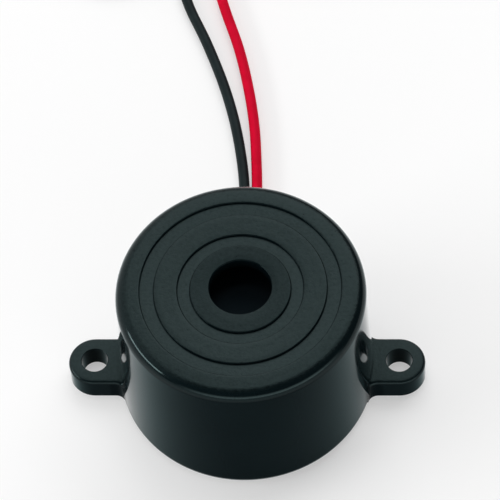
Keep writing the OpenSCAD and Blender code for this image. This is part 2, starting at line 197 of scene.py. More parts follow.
def coilLine(centre, startAngle, way):
    line = []
    steps = leadSize["turnSteps"] * leadSize["coilTurns"]
    for i in range(steps + 1):
        turns = leadSize["coilTurns"] * i / steps
        angle = math.radians(startAngle) + way * math.tau * turns
        radius = leadSize["coilStart"] - leadSize["coilPitch"] * turns
        line.append(
            Vector((
                centre[0] + radius * math.cos(angle),
                centre[1] + radius * math.sin(angle),
                leadSize["coilHeight"],
            ))
        )
    # The tail bends in from the last turn, tighter towards its end
    ahead = line[-1] - line[-2]
    heading = math.atan2(ahead.y, ahead.x)
    first, last = leadSize["tailBends"]
    steps = leadSize["tailSteps"]
    stride = leadSize["tailLength"] / steps
    for i in range(steps):
        heading += way * stride * (first + (last - first) * (i + 0.5) / steps)
        line.append(line[-1] + stride * Vector((math.cos(heading), math.sin(heading), 0)))
    return line


def roundWire(name, lines, diameter):
    # A round section swept along each line, made a mesh
    curve = bpy.data.curves.new(name, "CURVE")
    curve.dimensions = "3D"
    curve.bevel_depth = diameter / 2 * mm
    curve.bevel_resolution = leadSize["roundness"]
    curve.use_fill_caps = True
    for line in lines:
        spline = curve.splines.new("POLY")
        spline.points.add(len(line) - 1)
        for point, place in zip(spline.points, line):
            point.co = (*(place * mm), 1)
    sweep = placed(name, curve)
    mesh = bpy.data.meshes.new_from_object(sweep.evaluated_get(bpy.context.evaluated_depsgraph_get()))
    bpy.data.objects.remove(sweep)
    bpy.data.curves.remove(curve)
    mesh.name = name
    mesh.shade_smooth()
    return mesh


def makeStrands(colour, line):
    # A core strand with the others twisted round it, straight on from the lead's end
    start = line[-1]
    ahead = (line[-1] - line[-2]).normalized()
    up = Vector((0, 0, 1))
    side = ahead.cross(up)
    thick = leadSize["strandDiameter"]
    stride = leadSize["strandLength"] / leadSize["strandSteps"]
    distances = [stride * k for k in range(leadSize["strandSteps"] + 1)]
    lines = [[start + ahead * along for along in distances]]
    for strand in range(leadSize["strands"]):
        twisted = []
        for along in distances:
            angle = math.tau * (strand / leadSize["strands"] + along / leadSize["strandTwist"])
            out = side * math.cos(angle) + up * math.sin(angle)
            twisted.append(start + ahead * along + out * thick)
        lines.append(twisted)
    mesh = roundWire(f"{colour}TinnedStrands", lines, thick)
    return newPiece(f"{colour}TinnedStrands", mesh, "tinned_wire", f"{colour}_tinned_end")


def arcPoints(centre, radius, start, end, steps):
    points = []
    for i in range(steps + 1):
        angle = math.radians(start + (end - start) * i / steps)
        points.append((centre[0] + radius * math.cos(angle), centre[1] + radius * math.sin(angle)))
    return points


def meshFrom(shape, name):
    bmesh.ops.recalc_face_normals(shape, faces=shape.faces)
    mesh = bpy.data.meshes.new(name)
    shape.to_mesh(mesh)
    shape.free()
    return mesh


def vertsOf(made):
    return [v for v in made["geom"] if isinstance(v, bmesh.types.BMVert)]


def extrudedOutline(outline, along):
    # A closed prism from an outline and the way it is drawn out
    shape = bmesh.new()
    verts = [shape.verts.new(point) for point in outline]
    edges = [shape.edges.new(pair) for pair in zip(verts, verts[1:] + verts[:1])]
    base = bmesh.ops.contextual_create(shape, geom=edges)
    raised = bmesh.ops.extrude_face_region(shape, geom=base["faces"], use_keep_orig=True)
    bmesh.ops.translate(shape, vec=along, verts=vertsOf(raised))
    return shape


def tiePath(size):
    # Outwards over the coil, down, back underneath, up and over its own start
    corner = size["corner"]
    path = [(size["start"], size["high"])]
    corners = (
        (size["outer"] - corner, size["high"] - corner, 90),
        (size["outer"] - corner, size["low"] + corner, 0),
        (size["inner"] + corner, size["low"] + corner, -90),
        (size["inner"] + corner, size["high"] - corner, -180),
    )
    for x, z, start in corners:
        path += arcPoints((x, z), corner, start, start - 90, size["cornerSteps"])
    over = size["high"] + size["rise"]
    path += [(size["start"] - size["slope"], size["high"]), (size["start"], over)]
    path += [(size["end"] - size["liftedPart"], over), (size["end"], over + size["lift"])]
    return [Vector((x, 0, z)) for x, z in path]


def thickened(path, thick):
    # Both sides of a line as one closed outline
    sides = ([], [])
    for k, point in enumerate(path):
        ahead = (path[min(k + 1, len(path) - 1)] - path[max(k - 1, 0)]).normalized()
        out = ahead.cross(Vector((0, 1, 0))) * thick / 2
        sides[0].append(point + out)
        sides[1].append(point - out)
    return sides[0] + sides[1][::-1]


def makeTie(colour, lead):
    width = Vector((0, tieSize["width"], 0))
    outline = thickened(tiePath(tieSize), tieSize["sheet"])
    shape = extrudedOutline([point - width / 2 for point in outline], width)
    turn = Matrix.Rotation(math.radians(lead["tieAngle"]), 4, "Z")
    place = Matrix.Translation((*lead["centre"], 0)) @ turn
    bmesh.ops.transform(shape, matrix=Matrix.Scale(mm, 4) @ place, verts=shape.verts)
    mesh = meshFrom(shape, f"{colour}PaperTie")
    smoothShaded(mesh)
    return newPiece(f"{colour}PaperTie", mesh, "tie_paper", f"{colour}_tie")


def makeLead(colour, lead):
    line = smoothLine(lead["route"])
    line += coilLine(lead["centre"], lead["startAngle"], lead["way"])
    mesh = roundWire(f"{colour}Lead", [line], leadSize["diameter"])
    piece = newPiece(
        f"{colour}Lead", mesh, f"{colour}_insulation", f"{colour}_lead", f"{colour}_coil"
    )
    strands = makeStrands(colour, line)
    tie = makeTie(colour, lead)
    tuple(part * mm for part in lead["exit"])
    [point * mm for point in line]
    return piece, strands, tie


leadPieces = {colour: makeLead(colour, lead) for colour, lead in leads.items()}
print("leads laid")

# The housing is a spun cup with two ears, their holes and the notch for the leads
housingSize = {
    "baseRadius": 15,
    "draft": 0.55,
    "baseEdge": 1.4,
    "topEdge": 1.5,
    "topEdgeAngle": 88,
    "wall": 1.9,
    "front": 1.6,
    "holeRadius": 3.6,
    "holeShift": 0.25,
    "grooves": ((5.85, 7.25), (10.0, 11.6)),  # inner and outer radii
    "grooveDepth": 0.3,
    "dish": 0.2,
    "rimLand": 0.35,  # level part outside the outer groove
    "rimFall": 0.03,
    "middleFall": 0.4,  # share of the fall that is reached halfway
    "softEdge": 0.14,
    "softSteps": 3,
    "chamber": (11.4, 15.0),  # radius, and height of its lower end
    "pocket": (12.55, 13.9),
    "segments": 240,
    "arcSteps": 10,
    "landShares": (0.25, 0.5, 0.75),
    "floorShares": (0.06, 0.5, 0.94),
}
earSize = {
    "pitch": 36,
    "width": 6.2,
    "thickness": 3.1,
    "holeRadius": 1.55,
    "holeEdge": 0.04,
    "holeSegments": 64,
    "edge": 0.5,
    "lowerEdge": 0.12,
    "edgeSteps": 4,
    "root": 1.2,
    "rootSink": 0.1,
    "rootSteps": 6,
    "endSteps": 28,
    "inner": 13.45,
    "innerSteps": 8,
}
notchSize = {
    "radius": 0.75,
    "height": 0.85,
    "left": -0.95,
    "right": 0.55,
    "from": 12.4,
    "to": 16,
    "below": -1,
    "arcSteps": 8,
}
sameLine = 1e-3  # how near counts as on a ring, on a flat face and as the same point
sameFlat = 1e-4
mergeWithin = 1e-4
flatCorners = 30  # only an ear's two flat faces have more corners


def joined(mesh, other, operation):
    # The exact union or difference of two closed meshes
    pieces = [placed("first", mesh), placed("second", other)]
    modifier = pieces[0].modifiers.new("joined", "BOOLEAN")
    modifier.operation = operation
    modifier.solver = "EXACT"
    modifier.object = pieces[1]
    view = bpy.context.evaluated_depsgraph_get()
    result = bpy.data.meshes.new_from_object(pieces[0].evaluated_get(view))
    for piece in pieces:
        bpy.data.objects.remove(piece)
    return result


def softened(shape, edges, offset, segments):
    bmesh.ops.bevel(
        shape, geom=edges, offset=offset, segments=segments, profile=0.5, affect="EDGES", material=-1
    )


def ringEdges(shape, radius, height, centre=(0, 0)):
    # The edges of the round line at this radius and height
    return [
        edge
        for edge in shape.edges
        if all(
            abs(v.co.z - height) < sameLine
            and abs(math.hypot(v.co.x - centre[0], v.co.y - centre[1]) - radius) < sameLine
            for v in edge.verts
        )
    ]


def faceHeight(size, top, radius):
    # The front is dished a little inside its outer groove
    return top - size["dish"] * max(0, 1 - (radius / size["grooves"][-1][1]) ** 2)


def cupSection(size, top):
    # From the land round the hole outwards, down the wall and back inside
    topEdge = size["topEdge"]
    baseEdge = size["baseEdge"]
    bore = size["baseRadius"] - size["wall"]
    under = top - size["front"]
    land = (size["holeRadius"] + size["grooves"][0][0]) / 2
    points = [(land, faceHeight(size, top, land))]
    for before, (inner, outer) in zip([land] + [pair[1] for pair in size["grooves"]], size["grooves"]):
        for share in size["landShares"]:
            radius = before + (inner - before) * share
            points.append((radius, faceHeight(size, top, radius)))
        heights = [faceHeight(size, top, radius) for radius in (inner, outer)]
        floors = [height - size["grooveDepth"] for height in heights]
        points += [(inner, heights[0]), (inner, floors[0])]
        for share in size["floorShares"]:
            points.append((inner + (outer - inner) * share, floors[0] + (floors[1] - floors[0]) * share))
        points += [(outer, floors[1]), (outer, heights[1])]
    # The last land falls a little towards the round edge
    edgeCentre = (size["baseRadius"] - size["draft"] - topEdge, top - topEdge - size["rimFall"])
    level = size["grooves"][-1][1] + size["rimLand"]
    points += [(level, top), ((level + edgeCentre[0]) / 2, top - size["rimFall"] * size["middleFall"])]
    points += arcPoints(edgeCentre, topEdge, size["topEdgeAngle"], 0, size["arcSteps"])
    points += arcPoints((size["baseRadius"] - baseEdge, baseEdge), baseEdge, 0, -90, size["arcSteps"])
    points += [
        (bore, 0), (bore, size["pocket"][1]), size["pocket"], (size["pocket"][0], size["chamber"][1]),
        size["chamber"], (size["chamber"][0], under), (land, under),
    ]
    return points


def cupMesh(size, top):
    shape = bmesh.new()
    verts = [shape.verts.new((x, 0, z)) for x, z in cupSection(size, top)]
    edges = [shape.edges.new(pair) for pair in zip(verts, verts[1:])]
    bmesh.ops.spin(
        shape, geom=verts + edges, cent=(0, 0, 0), axis=(0, 0, 1), dvec=(0, 0, 0),
        angle=math.tau, steps=size["segments"], use_merge=True, use_duplicate=False,
    )
    # The sound hole lies a little off the middle, so it is bridged to the spun rings
    under = top - size["front"]
    land = verts[0].co.x
    centre = (0, size["holeShift"])
    lip = faceHeight(size, top, size["holeRadius"])
    for height in (lip, under):
        bmesh.ops.create_circle(
            shape, segments=size["segments"], radius=size["holeRadius"],
            matrix=Matrix.Translation((*centre, height)),
        )
    upper, lower = (ringEdges(shape, size["holeRadius"], height, centre) for height in (lip, under))
    face = ringEdges(shape, land, faceHeight(size, top, land))
    for pair in (face + upper, upper + lower, ringEdges(shape, land, under) + lower):
        bmesh.ops.bridge_loops(shape, edges=pair)
    sharp = ringEdges(shape, size["holeRadius"], lip, centre)
    for rings in size["grooves"]:
        for radius in rings:
            sharp += ringEdges(shape, radius, faceHeight(size, top, radius))
    softened(shape, sharp, size["softEdge"], size["softSteps"])
    return meshFrom(shape, "cup")


def earOutline(size, body):
    # A round end, straight sides, and a fillet where each side meets the wall
    half = size["width"] / 2
    away = body - size["rootSink"]
    rootY = half + size["root"]
    rootX = math.sqrt((away + size["root"]) ** 2 - rootY**2)
    share = away / (away + size["root"])
    turn = math.degrees(math.atan2(rootY, rootX)) - 180
    side = [(math.sqrt(size["inner"] ** 2 - (share * rootY) ** 2), share * rootY)]
    side += arcPoints((rootX, rootY), size["root"], turn, -90, size["rootSteps"])
    end = arcPoints((size["pitch"] / 2, 0), half, 90, -90, size["endSteps"])
    inwards = math.degrees(math.asin(share * rootY / size["inner"]))
    inner = arcPoints((0, 0), size["inner"], -inwards, inwards, size["innerSteps"])[1:-1]
    return side + end + [(x, -y) for x, y in reversed(side)] + inner


def earMesh(size, body):
    top = size["thickness"]
    hole = size["holeRadius"]
    lip = size["holeEdge"]
    shape = extrudedOutline([(x, y, 0) for x, y in earOutline(size, body)], (0, 0, top))
    for height, offset in ((top, size["edge"]), (0, size["lowerEdge"])):
        rim = [
            edge
            for edge in shape.edges
            if all(
                abs(v.co.z - height) < sameFlat and v.co.xy.length > body - size["root"] / 2
                for v in edge.verts
            )
        ]
        softened(shape, rim, offset, size["edgeSteps"])
    # The flat faces are made again round the screw hole
    flats = [face for face in shape.faces if len(face.verts) > flatCorners]
    borders = [list(face.edges) for face in flats]
    heights = [face.verts[0].co.z for face in flats]
    bmesh.ops.delete(shape, geom=flats, context="FACES_ONLY")
    section = [(hole + lip, 0), (hole, lip), (hole, top - lip), (hole + lip, top)]
    rings = []
    for radius, height in section:
        ring = bmesh.ops.create_circle(
            shape, segments=size["holeSegments"], radius=radius,
            matrix=Matrix.Translation((size["pitch"] / 2, 0, height)),
        )
        rings.append(list({edge for v in ring["verts"] for edge in v.link_edges}))
    for border, height in zip(borders, heights):
        ring = rings[0] if height < top / 2 else rings[-1]
        bmesh.ops.triangle_fill(shape, use_beauty=True, use_dissolve=False, edges=border + ring)
    for pair in zip(rings, rings[1:]):
        bmesh.ops.bridge_loops(shape, edges=pair[0] + pair[1])
    other = bmesh.ops.duplicate(shape, geom=shape.verts[:] + shape.edges[:] + shape.faces[:])
    bmesh.ops.rotate(
        shape, cent=(0, 0, 0), matrix=Matrix.Rotation(math.pi, 3, "Z"), verts=vertsOf(other)
    )
    return meshFrom(shape, "ears")


def notchMesh(notch):
    # Both leads' holes as one slot that is open at the base
    radius = notch["radius"]
    outline = arcPoints((notch["right"], notch["height"]), radius, 0, 90, notch["arcSteps"])
    outline += arcPoints((notch["left"], notch["height"]), radius, 90, 180, notch["arcSteps"])
    outline += [(notch["left"] - radius, notch["below"]), (notch["right"] + radius, notch["below"])]
    inwards = [(x, notch["from"], z) for x, z in outline]
    return meshFrom(extrudedOutline(inwards, (0, notch["to"] - notch["from"], 0)), "notch")


def makeHousing():
    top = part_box("housing")[1].z / mm
    cup = joined(cupMesh(housingSize, top), notchMesh(notchSize), "DIFFERENCE")
    whole = joined(cup, earMesh(earSize, housingSize["baseRadius"]), "UNION")
    shape = bmesh.new()
    shape.from_mesh(whole)
    bmesh.ops.remove_doubles(shape, verts=shape.verts, dist=mergeWithin)
    bmesh.ops.scale(shape, vec=(mm, mm, mm), verts=shape.verts)
    mesh = meshFrom(shape, "housingShell")
    smoothShaded(mesh)
    piece = newPiece("housingShell", mesh, "housing_plastic", "housing")
    piece.modifiers.new("evenShading", "WEIGHTED_NORMAL").keep_sharp = True
    return piece


housing = makeHousing()
print("housing made")


class Value:
    # A number in a material; arithmetic on it adds Math nodes
    def __init__(self, graph, socket):
        self.graph = graph
        self.socket = socket

    def withMath(self, operation, first, second):
        return self.graph.node("ShaderNodeMath", {"operation": operation}, {0: first, 1: second})

    def __add__(self, other):
        return self.withMath("ADD", self, other)

    __radd__ = __add__

    def __sub__(self, other):
        return self.withMath("SUBTRACT", self, other)

    def __rsub__(self, other):
        return self.withMath("SUBTRACT", other, self)

    def __mul__(self, other):
        return self.withMath("MULTIPLY", self, other)

    __rmul__ = __mul__

    def __pow__(self, other):
        return self.withMath("POWER", self, other)

    def __rpow__(self, other):
        return self.withMath("POWER", other, self)


class Graph:
    # Makes the nodes of a material or of the world
    def __init__(self, tree):
        self.tree = tree

    def put(self, socket, value):
        if isinstance(value, Value):
            self.tree.links.new(value.socket, socket)
        else:
            socket.default_value = value

    def node(self, kind, settings=None, inputs=None, output=0):
        made = self.tree.nodes.new(kind)
        for key, value in (settings or {}).items():
            setattr(made, key, value)
        for key, value in (inputs or {}).items():
            self.put(made.inputs[key], value)
        return Value(self, made.outputs[output])

    def fade(self, value, span, to=(0, 1)):
        # A soft step from one number to another while the value crosses the span
        return self.node(
            "ShaderNodeMapRange",
            {"interpolation_type": "SMOOTHSTEP"},
            {"Value": value, "From Min": span[0], "From Max": span[1], "To Min": to[0], "To Max": to[1]},
        )

    def mix(self, share, first, second):
        # Colours are three numbers or another mix
        pair = [colour if isinstance(colour, Value) else (*colour, 1) for colour in (first, second)]
        return self.node(
            "ShaderNodeMix", {"data_type": "RGBA"}, {"Factor": share, 6: pair[0], 7: pair[1]}, output=2
        )

    def along(self, vector, towards):
        # The share of a direction that points this way
        return self.node(
            "ShaderNodeVectorMath",
            {"operation": "DOT_PRODUCT"},
            {0: vector, 1: Vector(towards).normalized()},
            output="Value",
        )


class Finish(Graph):
    patchSpan = (0.35, 0.65)
    grainSpan = (0.3, 0.7)

    def __init__(self, name, fixed=None):
        self.material = bpy.data.materials.new(name)
        self.material.use_nodes = True
        super().__init__(self.material.node_tree)
        self.shader = self.tree.nodes["Principled BSDF"]
        for key, value in (fixed or {}).items():
            self.put(self.shader.inputs[key], value)
        place = self.node("ShaderNodeTexCoord", output="Object")
        self.place = self.node(
            "ShaderNodeVectorMath", {"operation": "SCALE"}, {"Vector": place, "Scale": 1 / mm}
        )

    def noise(self, scale, detail=2, roughness=0.5):
        return self.node(
            "ShaderNodeTexNoise",
            None,
            {"Vector": self.place, "Scale": scale, "Detail": detail, "Roughness": roughness},
        )

    def patches(self, scale, pattern=None):
        # Soft patches, with what another pattern adds to them
        cloud = self.noise(scale, 3)
        return self.fade(cloud if pattern is None else cloud + pattern, self.patchSpan)

    def grain(self, scale):
        return self.noise(scale, 3, 0.6)

    def gloss(self, grain, rough):
        return self.fade(grain, self.grainSpan, rough)

    def bump(self, height, depth):
        return self.node("ShaderNodeBump", None, {"Height": height, "Distance": depth * mm})

    def blend(self, share, over):
        # This share of another shader is laid over what there is
        surface = self.tree.nodes["Material Output"].inputs["Surface"]
        under = Value(self, surface.links[0].from_socket)
        self.put(surface, self.node("ShaderNodeMixShader", None, {0: share, 1: under, 2: over}))

    def part(self, vector, axis):
        # One of a vector's three numbers
        return self.node("ShaderNodeSeparateXYZ", None, {0: vector}, output="XYZ".index(axis))

    def upward(self):
        # How far the surface looks up
        return self.part(self.node("ShaderNodeNewGeometry", output="Normal"), "Z")

    def radius(self):
        # The distance from the upright axis in millimetres
        flat = self.node("ShaderNodeVectorMath", {"operation": "MULTIPLY"}, {0: self.place, 1: (1, 1, 0)})
        return self.node("ShaderNodeVectorMath", {"operation": "LENGTH"}, {0: flat}, output="Value")

    def bands(self, value, pairs, soft):
        # 1 where the value lies between the two of a pair
        return sum(
            self.fade(value, (low, low + soft)) - self.fade(value, (high - soft, high))
            for low, high in pairs
        )

    def wave(self, value, pitch):
        return self.node("ShaderNodeMath", {"operation": "SINE"}, {0: value * (math.tau / pitch)})

    def weave(self, pitch):
        # Crossed threads along X and Y
        return self.wave(self.part(self.place, "X"), pitch) * self.wave(self.part(self.place, "Y"), pitch)

    def finishWith(self, colour, roughness, height=None, depth=0):
        self.put(self.shader.inputs["Base Color"], colour)
        self.put(self.shader.inputs["Roughness"], roughness)
        if height is not None:
            self.put(self.shader.inputs["Normal"], self.bump(height, depth))
        return self.material


floorLook = {
    "size": 12,
    "colour": (0.94, 0.94, 0.94, 1),
    "fixed": {"Specular IOR Level": 0.1},
    "rough": 0.9,
    "softened": 0.42,
}
lampLook = {
    "key": {"size": (1.15, 0.75), "place": (0.21, 0.74, 0.83), "aim": (0, 0.1, 0), "power": 7.6},
    "top": {"size": (0.6, 0.2), "place": (-0.05, 0.22, 1.2), "aim": (0, 0, 0.02), "power": 2.1},
    "edge": {"size": (0.4, 0.1), "place": (-0.6, -0.12, 0.25), "aim": (0, 0, 0.015), "power": 1.6},
}
worldLook = {
    "colour": (1, 1, 1, 1),
    "ambient": 0.12,
    "glows": [
        {"towards": (-0.85, 0.45, 0.25), "inner": 20, "outer": 70, "ceiling": (80, 90), "strength": 1},
        {"towards": (0.3, -1, 0), "inner": 30, "outer": 70, "ceiling": (8, 26), "strength": 3.4},
    ],
}


def floorPaper(look):
    # White paper, whose shadows are softened for what the camera and the gloss see
    finish = Finish("floorPaper", look["fixed"])
    finish.finishWith(look["colour"], look["rough"])
    unseen = 1
    for ray in ("Camera", "Glossy", "Transmission"):
        unseen = unseen * (1 - finish.node("ShaderNodeLightPath", output=f"Is {ray} Ray"))
    finish.blend((1 - unseen) * look["softened"], finish.node("ShaderNodeEmission"))
    return finish.material


def makeFloor(look):
    mesh = bpy.data.meshes.new("floor")
    shape = bmesh.new()
    bmesh.ops.create_grid(shape, x_segments=1, y_segments=1, size=look["size"])
    shape.to_mesh(mesh)
    shape.free()
    placed("floor", mesh)
    mesh.materials.append(floorPaper(look))


def makeLamp(name, look):
    data = bpy.data.lights.new(name, "AREA")
    data.shape = "RECTANGLE"
    data.size, data.size_y = look["size"]
    data.energy = look["power"]
    place = Vector(look["place"])
    away = place - Vector(look["aim"])
    lamp = placed(name, data)
    lamp.matrix_world = Matrix.Translation(place) @ away.to_track_quat("Z", "Y").to_matrix().to_4x4()


def makeWorld(look):
    # A dim studio with a few soft glows round it
    world = bpy.data.worlds.new("studio")
    world.use_nodes = True
    bpy.context.scene.world = world
    graph = Graph(world.node_tree)
    direction = graph.node("ShaderNodeTexCoord", output="Generated")
    light = look["ambient"]
    for glow in look["glows"]:
        near, far = (math.cos(math.radians(glow[key])) for key in ("inner", "outer"))
        ceiling = [math.sin(math.radians(angle)) for angle in glow["ceiling"]]
        aside = graph.fade(graph.along(direction, glow["towards"]), (far, near))
        below = graph.fade(graph.along(direction, (0, 0, 1)), ceiling, (1, 0))
        light = aside * below * glow["strength"] + light
    background = world.node_tree.nodes["Background"]
    graph.put(background.inputs["Color"], look["colour"])
    graph.put(background.inputs["Strength"], light)


makeFloor(floorLook)
for name, look in lampLook.items():
    makeLamp(name, look)
makeWorld(worldLook)
bpy.context.scene.view_settings.view_transform = "Standard"
print("floor, lamps and world set")

# Polished sides under a satin front, and duller ears
plasticLook = {
    "gloss": {"IOR": 1.045, "Specular Tint": (0.6, 0.98, 1, 1)},
    "satin": {"IOR": 1.272, "Specular Tint": (0.68, 1, 1, 1)},
    "sides": ((0.0014, 0.0038, 0.0048), (0.0018, 0.0047, 0.0058)),
    "front": ((0.0018, 0.0040, 0.0046), (0.0042, 0.0076, 0.0084)),
    "grooveFloors": ((0.0044, 0.0077, 0.0085), (0.0069, 0.0113, 0.0124)),
    "earTops": ((0.0098, 0.0152, 0.0160), (0.0122, 0.0188, 0.0198)),
    "edgeTints": ((0.62, 0.97, 1), (0.96, 0.99, 1)),
    "cloud": 0.09,  # features a millimetre
    "grain": (2.6, 3, 0.65),  # the same, then detail and roughness
    "fine": (9, 2, 0.6),
    "sideRough": {"least": 0.08, "fine": 0.03, "ears": 0.3},
    "frontRough": {"least": 0.11, "satin": 0.1, "grain": 0.22, "ears": 0.15},
    "edgeRough": {"least": 0.09, "ears": 0.3},
    "bump": {"depth": 0.03, "fine": 0.3},
    "satinSpan": (0.8, 0.98),  # how far a face looks up
    "coverSpan": (0.05, 0.35),
    "cover": {"middle": 0.7, "outside": 0.28, "least": 0.7, "grain": 0.56},
    "middleSoft": 0.1,
    "grooveSoft": 0.1,
    # painted shade in the grooves' corners
    "corner": {"reach": 0.09, "soft": 0.06, "paintedShade": 0.65},
    "earSpan": (15.2, 15.6),
    "edgeSpan": (0.6, 0.9),
    "edgePower": 8,
    "edgeGloss": 1.6,
    # painted shade in the ears' roots, which take away edge gloss
    "root": {"inside": (13.9, 14.5), "outside": (15.9, 16.3), "height": (3.8, 5), "paintedShade": 0.85},
}


def earRootShade(finish, root):
    # The corners where the ears leave the wall, where the edge gloss is cut as a painted shade
    inside, outside = ([edge**2 for edge in root[key]] for key in ("inside", "outside"))
    across = finish.part(finish.place, "X") ** 2
    low = 1 - finish.fade(finish.part(finish.place, "Z"), root["height"])
    return finish.fade(across, inside) * (1 - finish.fade(across, outside)) * low


def satinCover(finish, look, radius, grain):
    # The land round the hole is a little duller, and each groove's two corners get a painted shade: thin
    # dark rings where the satin is thinned
    grooves = housingSize["grooves"]
    inner = grooves[0][0]
    cover = look["cover"]
    corner = look["corner"]
    corners = [(edge - corner["reach"], edge + corner["reach"]) for rings in grooves for edge in rings]
    outside = finish.fade(radius, (inner - look["middleSoft"], inner)) * cover["outside"]
    # Painted shade: thin dark rings along each groove's corners
    creaseShade = finish.bands(radius, corners, corner["soft"]) * corner["paintedShade"]
    return (cover["middle"] + outside) * (1 - creaseShade) * (cover["least"] + grain * cover["grain"])


def housingPlastic(look):
    finish = Finish("housingPlastic", look["gloss"])
    fine = finish.noise(*look["fine"])
    grain = finish.noise(*look["grain"])
    radius = finish.radius()
    up = finish.upward()
    ears = finish.fade(radius, look["earSpan"])
    satin = finish.fade(up, look["satinSpan"])
    sides = finish.mix(finish.fade(finish.noise(look["cloud"]), finish.patchSpan), *look["sides"])
    rough = look["sideRough"]
    finish.finishWith(sides, rough["least"] + fine * rough["fine"] + ears * rough["ears"])
    # The satin lies on all that looks up
    speckle = finish.fade(grain, finish.grainSpan)
    front, floors, earTops = (
        finish.mix(speckle, *look[key]) for key in ("front", "grooveFloors", "earTops")
    )
    front = finish.mix(finish.bands(radius, housingSize["grooves"], look["grooveSoft"]), front, floors)
    colour = finish.mix(satin, sides, finish.mix(ears, front, earTops))
    rough = look["frontRough"]
    dull = satin * (rough["satin"] + grain * rough["grain"])
    height = (grain + fine * look["bump"]["fine"]) * satin
    satinLayer = {
        "Base Color": colour,
        "Roughness": rough["least"] + dull + ears * rough["ears"],
        "Normal": finish.bump(height, look["bump"]["depth"]),
    }
    cover = finish.fade(up, look["coverSpan"]) * satinCover(finish, look, radius, grain)
    finish.blend(cover, finish.node("ShaderNodeBsdfPrincipled", None, look["satin"] | satinLayer))
    # The gloss rises faster than a clear coat's towards the edges, but is cut in the ears' roots as a
    # painted shade
    facing = finish.node("ShaderNodeLayerWeight", None, {"Blend": 0.5}, output="Facing")
    rough = look["edgeRough"]
    edgeLayer = {
        "Metallic": 1,
        "Base Color": finish.mix(finish.fade(facing, look["edgeSpan"]), *look["edgeTints"]),
        "Roughness": rough["least"] + ears * rough["ears"],
    }
    # Painted shade: the ears' roots lose most of the edge gloss
    unshaded = 1 - earRootShade(finish, look["root"]) * look["root"]["paintedShade"]
    cover = facing ** look["edgePower"] * look["edgeGloss"] * unshaded
    finish.blend(cover, finish.node("ShaderNodeBsdfPrincipled", None, edgeLayer))
    return finish.material


# Bright brass, near black on the side that the sound hole shows, as a painted shade for the deep hole
brassLook = {
    "fixed": {"Specular IOR Level": 0.03},
    "brass": ((0.66, 0.46, 0.20), (0.80, 0.58, 0.26)),
    "holeShade": ((0.0055, 0.0100, 0.0128), (0.0065, 0.0112, 0.0142)),
    "rough": (0.25, 0.38),
    "shadedRough": 0.55,
    "shadedSpan": (0.4, 0.6),
    "patch": 0.35,
    "grain": 9,
    "depth": 0.003,
}


def brassSheet(look):
    finish = Finish("brassSheet", look["fixed"])
    grain = finish.grain(look["grain"])
    patches = finish.patches(look["patch"])
    # Painted shade: the side that looks up is near black, for the shade in the sound hole
    shadedSide = finish.fade(finish.upward(), look["shadedSpan"])
    colour = finish.mix(shadedSide, finish.mix(patches, *look["brass"]), finish.mix(patches, *look["holeShade"]))
    finish.put(finish.shader.inputs["Metallic"], 1 - shadedSide)
    roughness = finish.gloss(grain, look["rough"]) + shadedSide * look["shadedRough"]
    return finish.finishWith(colour, roughness, grain, look["depth"])


# Beige lacquer with four colour rings, each at its share of the length
resistorLook = {
    "lacquer": ((0.54, 0.39, 0.21), (0.62, 0.46, 0.26)),
    "rough": (0.2, 0.35),
    "patch": 1.6,
    "grain": 8,
    "depth": 0.01,
    "rings": {
        0.2: (0.10, 0.035, 0.015),
        0.38: (0.012, 0.012, 0.013),
        0.56: (0.42, 0.02, 0.02),
        0.8: (0.40, 0.26, 0.06),
    },
    "reach": 0.17,
    "soft": 0.04,
}


def resistorCoat(look):
    finish = Finish("resistorCoat")
    grain = finish.grain(look["grain"])
    colour = finish.mix(finish.patches(look["patch"]), *look["lacquer"])
    along = finish.part(finish.place, "X")
    left, right = (corner.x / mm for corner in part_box("base_resistor"))
    for share, ring in look["rings"].items():
        middle = left + (right - left) * share
        band = (middle - look["reach"], middle + look["reach"])
        colour = finish.mix(finish.bands(along, [band], look["soft"]), colour, ring)
    return finish.finishWith(colour, finish.gloss(grain, look["rough"]), grain, look["depth"])


# Amber glass with the dark ring of its cathode
diodeLook = {
    "glass": ((0.38, 0.13, 0.05), (0.50, 0.20, 0.08)),
    "rough": (0.06, 0.14),
    "patch": 1.3,
    "grain": 6,
    "depth": 0.003,
    "ring": (0.5, 1.1),
    "ringSoft": 0.05,
    "ringColour": (0.012, 0.012, 0.014),
    "ringRough": 0.2,
}


def diodeGlass(look):
    finish = Finish("diodeGlass")
    grain = finish.grain(look["grain"])
    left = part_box("diode")[0].x / mm
    band = [left + edge for edge in look["ring"]]
    ring = finish.bands(finish.part(finish.place, "X"), [band], look["ringSoft"])
    colour = finish.mix(ring, finish.mix(finish.patches(look["patch"]), *look["glass"]), look["ringColour"])
    roughness = finish.gloss(grain, look["rough"]) + ring * look["ringRough"]
    return finish.finishWith(colour, roughness, grain, look["depth"])


# Enamelled wire, one turn beside the other
windingLook = {
    "fixed": {"Metallic": 1},
    "enamel": ((0.38, 0.13, 0.045), (0.62, 0.25, 0.10)),
    "rough": (0.18, 0.3),
    "patch": 1.5,
    "grain": 8,
    "depth": 0.03,
    "turn": 0.16,
    "turnShade": 0.12,
}


def enamelledCopper(look):
    finish = Finish("enamelledCopper", look["fixed"])
    turns = finish.wave(finish.part(finish.place, "Z"), look["turn"])
    colour = finish.mix(finish.patches(look["patch"], turns * look["turnShade"]), *look["enamel"])
    roughness = finish.gloss(finish.grain(look["grain"]), look["rough"])
    return finish.finishWith(colour, roughness, turns, look["depth"])


